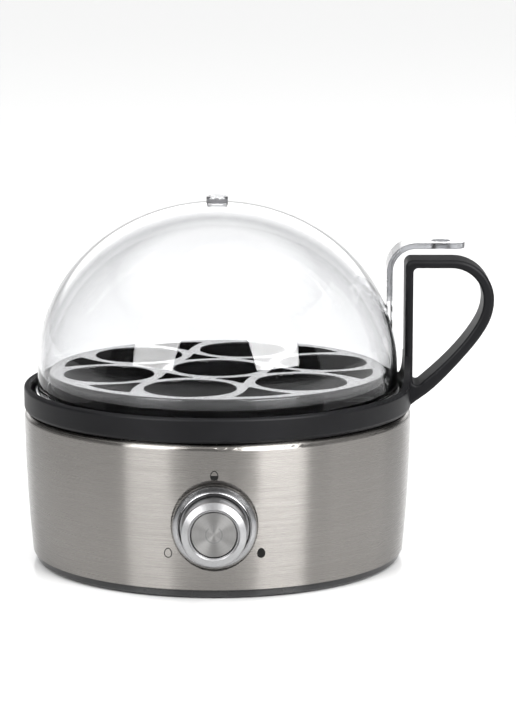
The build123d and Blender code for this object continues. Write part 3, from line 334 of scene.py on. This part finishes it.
# ---------------------------------------------------------------- clear lid
DOME_R = 85.8
DOME_HEIGHT = 76.9
DOME_CENTRE_Z = 93.9
DOME_WALL = 2.0
LID_RIM_R = 88.2
LID_RIM_Z = 79.3
VENT_R = 5.15
VENT_TOP_Z = 173.8
VENT_HOLE_R = 1.6
TAB_HALF = 10.0
TAB_THICK = 2.8
TAB_OUTER_X = 83.0
TAB_LOW_Z = 106.0
TAB_STRAIGHT_Z = 125.0
TAB_BEND_R = 14.0
TAB_BEND_STEPS = 24
TAB_TOP_Z = 152.6
TAB_END_X = 117.0
TAB_CORNER_R = 5.0
TAB_CORNER_STEPS = 12
TAB_EDGE = 0.45
TAB_HOLE_X = 106.0
TAB_HOLE_R = 4.65
HOLE_BOTTOM_Z = 140.0
HOLE_TOP_Z = 160.0
DOME_STEPS = 88
COLLAR_LOW_Z = 170.7
COLLAR_HIGH_Z = 172.9
SHARP_ANGLE = math.radians(38)
LID_FINISHES = ("clear_plastic", "vent_painted_shade", "tab_painted_shade", "tab_edge_painted_shade")


def add_mesh(name, points, faces, slots=()):
    """A new object from points in millimetres."""
    mesh = bpy.data.meshes.new(name)
    mesh.from_pydata([Vector(p) * MM for p in points], [], faces)
    shape = bmesh.new()
    shape.from_mesh(mesh)
    bmesh.ops.remove_doubles(shape, verts=shape.verts, dist=1e-7)
    bmesh.ops.recalc_face_normals(shape, faces=shape.faces)
    shape.to_mesh(mesh)
    shape.free()
    for slot in slots:
        mesh.materials.append(slot)
    piece = bpy.data.objects.new(name, mesh)
    scene.collection.objects.link(piece)
    return piece


def lathe(name, profile, steps=288):
    """Turns a closed (radius, height) profile round the vertical axis."""
    points = []
    for step in range(steps):
        turn = 2 * math.pi * step / steps
        points += [(r * math.cos(turn), r * math.sin(turn), z) for r, z in profile]
    count = len(profile)
    faces = [
        (
            step * count + k,
            (step + 1) % steps * count + k,
            (step + 1) % steps * count + (k + 1) % count,
            step * count + (k + 1) % count,
        )
        for step in range(steps)
        for k in range(count)
    ]
    return add_mesh(name, points, faces)


def dome_arc(inset, low_r, count):
    """Points of the dome's ellipse from its widest place up to radius low_r."""
    radius, height = DOME_R - inset, DOME_HEIGHT - inset
    end = math.acos(low_r / radius)
    return [
        (radius * math.cos(end * k / count), DOME_CENTRE_Z + height * math.sin(end * k / count))
        for k in range(count + 1)
    ]


def loft(name, sections):
    """Closed skin through rings of points that all have the same count."""
    count = len(sections[0])
    points = [p for ring in sections for p in ring]
    faces = [
        (s * count + k, s * count + (k + 1) % count, (s + 1) * count + (k + 1) % count, (s + 1) * count + k)
        for s in range(len(sections) - 1)
        for k in range(count)
    ]
    faces.append(tuple(range(count)))
    faces.append(tuple(range((len(sections) - 1) * count, len(sections) * count)))
    return add_mesh(name, points, faces)


def tab_sections():
    """Rings of the bent strip, from inside the dome's wall up, round the bend and out to its end."""
    inner_x = TAB_OUTER_X - TAB_THICK
    stations = [((inner_x, z), (-1, 0), TAB_HALF) for z in (TAB_LOW_Z, TAB_STRAIGHT_Z)]
    for k in range(TAB_BEND_STEPS + 1):
        angle = math.pi - math.pi / 2 * k / TAB_BEND_STEPS
        way = (math.cos(angle), math.sin(angle))
        x = inner_x + TAB_BEND_R * (1 + way[0])
        z = TAB_TOP_Z - TAB_BEND_R * (1 - way[1])
        stations.append(((x, z), way, TAB_HALF))
    corner_x = TAB_END_X - TAB_CORNER_R
    stations.append(((corner_x, TAB_TOP_Z), (0, 1), TAB_HALF))
    for k in range(1, TAB_CORNER_STEPS + 1):
        angle = math.pi / 2 * k / TAB_CORNER_STEPS
        half = TAB_HALF - TAB_CORNER_R + TAB_CORNER_R * math.cos(angle)
        stations.append(((corner_x + TAB_CORNER_R * math.sin(angle), TAB_TOP_Z), (0, 1), half))
    rings = []
    for (x, z), (out_x, out_z), half in stations:
        ring = []
        for y, depth in (
            (-half + TAB_EDGE, 0), (half - TAB_EDGE, 0),
            (half, TAB_EDGE), (half, TAB_THICK - TAB_EDGE),
            (half - TAB_EDGE, TAB_THICK), (-half + TAB_EDGE, TAB_THICK),
            (-half, TAB_THICK - TAB_EDGE), (-half, TAB_EDGE),
        ):
            ring.append((x - out_x * depth, y, z - out_z * depth))
        rings.append(ring)
    return rings


def cut(piece, operation, *tools):
    """Applies exact booleans to a piece and removes the tools."""
    for tool in tools:
        modifier = piece.modifiers.new(operation, "BOOLEAN")
        modifier.operation = operation
        modifier.solver = "EXACT"
        modifier.object = tool
        done = bpy.data.meshes.new_from_object(piece.evaluated_get(bpy.context.evaluated_depsgraph_get()))
        piece.modifiers.clear()
        piece.data = done
        bpy.data.objects.remove(tool)


def lid_finish(centre, normal):
    """Name of the material that a face of the lid takes, from its centre in millimetres and its normal."""
    # Painted shade on the vent collar's outer faces.
    if abs(math.hypot(centre.x, centre.y) - VENT_R) < 0.1 and COLLAR_LOW_Z < centre.z < COLLAR_HIGH_Z:
        return "vent_painted_shade"
    if centre.x <= TAB_OUTER_X - TAB_THICK or centre.z <= TAB_STRAIGHT_Z:
        return "clear_plastic"
    # Painted shade: the tab's side faces, hole wall and end take the darker tint, and its flat faces take the
    # grey one.
    in_hole_or_end = centre.x > TAB_HOLE_X - TAB_HOLE_R - 1 and abs(normal.z) < 0.3
    return "tab_edge_painted_shade" if abs(normal.y) > 0.3 or in_hole_or_end else "tab_painted_shade"


def lid_profile():
    """Closed (radius, height) outline of the dome's wall, from the flanged rim up to the vent and back."""
    rim = [
        (DOME_R - DOME_WALL, LID_RIM_Z + 0.4), (DOME_R - 1.6, LID_RIM_Z),
        (LID_RIM_R - 0.5, LID_RIM_Z), (LID_RIM_R, LID_RIM_Z + 0.5),
        (LID_RIM_R, LID_RIM_Z + 1.6), (LID_RIM_R - 0.3, LID_RIM_Z + 2.0),
        (DOME_R + 0.5, LID_RIM_Z + 3.1), (DOME_R + 0.15, LID_RIM_Z + 4.1),
    ]
    vent = [
        (VENT_R, VENT_TOP_Z - 1.2), (VENT_R, VENT_TOP_Z - 0.6),
        (VENT_R - 0.2, VENT_TOP_Z - 0.2), (VENT_R - 0.6, VENT_TOP_Z),
        (VENT_R - 1.1, VENT_TOP_Z), (VENT_R - 1.3, VENT_TOP_Z - 0.2),
        (VENT_R - 1.3, VENT_TOP_Z - 1.2), (VENT_R - 1.5, VENT_TOP_Z - 1.4),
        (VENT_HOLE_R + 0.2, VENT_TOP_Z - 1.4), (VENT_HOLE_R, VENT_TOP_Z - 1.6),
    ]
    outer = dome_arc(0.0, VENT_R, DOME_STEPS)
    inner = dome_arc(DOME_WALL, VENT_HOLE_R, DOME_STEPS)
    return rim + outer + vent + inner[::-1]


def build_lid():
    """The clear dome with its rim, vent and grip tab, as one welded mesh with a material for each region."""
    lid = lathe("clear_lid", lid_profile())
    tab = loft("tab", tab_sections())
    middle = dome_arc(DOME_WALL / 2, 0.0, 60)
    cavity = lathe("cavity", [(0.0, LID_RIM_Z), (DOME_R - DOME_WALL / 2, LID_RIM_Z)] + middle)
    hole_outline = [
        (0.0, HOLE_BOTTOM_Z), (TAB_HOLE_R, HOLE_BOTTOM_Z), (TAB_HOLE_R, HOLE_TOP_Z), (0.0, HOLE_TOP_Z),
    ]
    hole = lathe("hole", hole_outline, 72)
    hole.data.transform(Matrix.Translation((TAB_HOLE_X * MM, 0, 0)))
    cut(tab, "DIFFERENCE", cavity, hole)
    cut(lid, "UNION", tab)
    mesh = lid.data
    mesh.materials.clear()
    for finish in LID_FINISHES:
        mesh.materials.append(materials[finish])
    for face in mesh.polygons:
        face.material_index = LID_FINISHES.index(lid_finish(face.center / MM, face.normal))
    mesh.shade_smooth()
    mesh.set_sharp_from_angle(angle=SHARP_ANGLE)
    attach(lid, "lid")
    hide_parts("lid")


build_lid()

# ---------------------------------------------------------------- printed icons and power symbol
ICON_RADIUS = 24.4
ICON_HALF_WIDTH = 1.85
ICON_HALF_HEIGHT = 2.35
ICON_LINE = 0.42
EGG_TAPER = 0.12
PRINT_RAISE = 0.05


def surface_finder(node):
    """Gives the front surface of a CAD node at (x, z), in millimetres."""
    bpy.context.view_layer.update()
    tree = BVHTree.FromObject(nodes[node], bpy.context.evaluated_depsgraph_get())

    def find(x, z, raise_by):
        hit = tree.ray_cast(Vector((x, -200, z)) * MM, Vector((0, 1, 0)))[0]
        return (x, hit.y / MM - raise_by, z)

    return find


def printed(name, node, strips, material, body):
    """Thin raised print on a node's front. Each strip is two matching rows of (x, z) points."""
    find = surface_finder(node)
    points, faces = [], []
    for first, second in strips:
        start = len(points)
        count = len(first)
        for raise_by in (PRINT_RAISE, -PRINT_RAISE):
            points += [find(x, z, raise_by) for x, z in first]
            points += [find(x, z, raise_by) for x, z in second]
        for k in range(count - 1):
            a, b = start + k, start + count + k
            c, d = a + 2 * count, b + 2 * count
            faces += [(a, a + 1, b + 1, b), (c, c + 1, d + 1, d), (a, a + 1, c + 1, c), (b, b + 1, d + 1, d)]
        for end in (0, count - 1):
            a, b = start + end, start + count + end
            faces.append((a, b, b + 2 * count, a + 2 * count))
    piece = add_mesh(name, points, faces, [material])
    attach(piece, body)


def egg_row(inset, centre_x, centre_z, start=0.0, turn=2 * math.pi, count=48):
    """Egg outline, a little wider below its middle."""
    row = []
    for k in range(count + 1):
        angle = start + turn * k / count
        wide = (ICON_HALF_WIDTH - inset) * (1 - EGG_TAPER * math.cos(angle))
        tall = ICON_HALF_HEIGHT - inset
        row.append((centre_x + wide * math.sin(angle), centre_z + tall * math.cos(angle)))
    return row


def egg_icon(name, bearing, fill):
    """fill is 0 for an outline, 0.5 for the lower half and 1 for a solid egg."""
    x = ICON_RADIUS * math.sin(math.radians(bearing))
    z = KNOB_Z + ICON_RADIUS * math.cos(math.radians(bearing))
    strips = [(egg_row(0.0, x, z), egg_row(ICON_LINE, x, z))]
    if fill:
        half_turn = math.pi * fill
        inner = egg_row(ICON_LINE, x, z, math.pi - half_turn, half_turn)
        mirrored = egg_row(ICON_LINE, x, z, math.pi + half_turn, -half_turn)
        strips.append((inner, mirrored))
    printed(name, "housing_shell", strips, materials["print_black"], "base")


egg_icon("icon_soft", -120, 0)
egg_icon("icon_medium", 0, 0.5)
egg_icon("icon_hard", 120, 1)

SYMBOL_R = 3.7
SYMBOL_HALF_LINE = 0.26
SYMBOL_OPEN = math.radians(38)
SYMBOL_STEPS = 48
BAR_BOTTOM = 1.3
BAR_TOP = 4.6


def symbol_arc(radius):
    """Open circle round the knob's axis, as (x, z) points."""
    turn = 2 * math.pi - 2 * SYMBOL_OPEN
    angles = [SYMBOL_OPEN + turn * k / SYMBOL_STEPS for k in range(SYMBOL_STEPS + 1)]
    return [(radius * math.sin(a), KNOB_Z + radius * math.cos(a)) for a in angles]


sides = (-SYMBOL_HALF_LINE, SYMBOL_HALF_LINE)
symbol_rows = [symbol_arc(SYMBOL_R + side) for side in sides]
bar_rows = [[(side, KNOB_Z + BAR_BOTTOM), (side, KNOB_Z + BAR_TOP)] for side in sides]
printed(
    "power_symbol", "power_button", [symbol_rows, bar_rows], materials["etched"], "power_button"
)


def build_spring():
    """The button's spring, as its own piece that moves with the button."""
    coil = nodes["button_spring"].copy()
    coil.data = nodes["button_spring"].data.copy()
    for key in [k for k in coil.keys() if k.startswith("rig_")]:
        del coil[key]
    coil.name = "return_spring"
    coil.parent = None
    scene.collection.objects.link(coil)
    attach(coil, "power_button")
    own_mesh(coil)
    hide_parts("button_spring")


build_spring()

# ---------------------------------------------------------------- floor, world and lights
FLOOR_HALF = 20.0
FLOOR_SHADED_Y = -0.60
FLOOR_LIT_Y = -0.27


def floor_material():
    """Pale floor whose colour grows darker towards the front: painted shade, standing in for the light
    falling off in front of the object.
    """
    material, n, shader = new_material("floor", Roughness=0.2, IOR=1.4, Specular_IOR_Level=0.12)
    where = n.split(n.add("ShaderNodeTexCoord").outputs["Object"])
    # Painted shade: the floor's colour darkens from the back towards the front.
    depth = n.span(where["Y"], 0.0, 1.0, FLOOR_SHADED_Y, FLOOR_LIT_Y)
    n.link(n.ramp(depth, [(0.0, grey(0.28)), (1.0, grey(0.69))]), shader.inputs["Base Color"])
    return material


floor_mesh = bpy.data.meshes.new("floor")
floor_mesh.from_pydata(
    [(x, y, 0) for x, y in ((-1, -1), (1, -1), (1, 1), (-1, 1))], [], [(0, 1, 2, 3)]
)
floor_mesh.transform(Matrix.Scale(FLOOR_HALF, 4))
floor_mesh.materials.append(floor_material())
floor = bpy.data.objects.new("floor", floor_mesh)
scene.collection.objects.link(floor)

ROOM_LEVEL = 0.05
world = bpy.data.worlds.new("studio")
scene.world = world
world.use_nodes = True
w = Nodes(world.node_tree)
direction = w.split(w.add("ShaderNodeTexCoord").outputs["Generated"])
behind = w.math(
    "MULTIPLY",
    w.span(direction["Y"], 0.0, 2.6, 0.76, 0.95),
    w.span(direction["Z"], 0.25, 1.0, 0.09, 0.15),
)
overhead = w.span(direction["Z"], 0.0, 1.6, 0.64, 0.82)
backdrop = world.node_tree.nodes["Background"]
backdrop.inputs["Color"].default_value = WHITE
w.link(w.math("ADD", w.math("MAXIMUM", behind, overhead), ROOM_LEVEL), backdrop.inputs["Strength"])


LAMP_AIM = Vector((0, 0, 0.08))


def softbox(name, azimuth, distance, height, size, power):
    """Rectangular lamp at an azimuth in degrees, measured from the front towards +X."""
    lamp = bpy.data.lights.new(name, "AREA")
    lamp.shape = "RECTANGLE"
    lamp.size, lamp.size_y = size
    lamp.energy = power
    light = bpy.data.objects.new(name, lamp)
    scene.collection.objects.link(light)
    angle = math.radians(azimuth)
    light.location = (distance * math.sin(angle), -distance * math.cos(angle), height)
    light.rotation_euler = (LAMP_AIM - light.location).to_track_quat("-Z", "Y").to_euler()


softbox("left_box", -40, 1.3, 0.86, (0.74, 1.28), 22.5)
softbox("right_box", 39, 1.3, 0.86, (0.80, 1.28), 36.0)
softbox("left_fill", -102, 1.6, 0.6, (2.0, 1.3), 0.9)
softbox("right_fill", 92, 1.6, 0.6, (1.5, 1.3), 2.6)
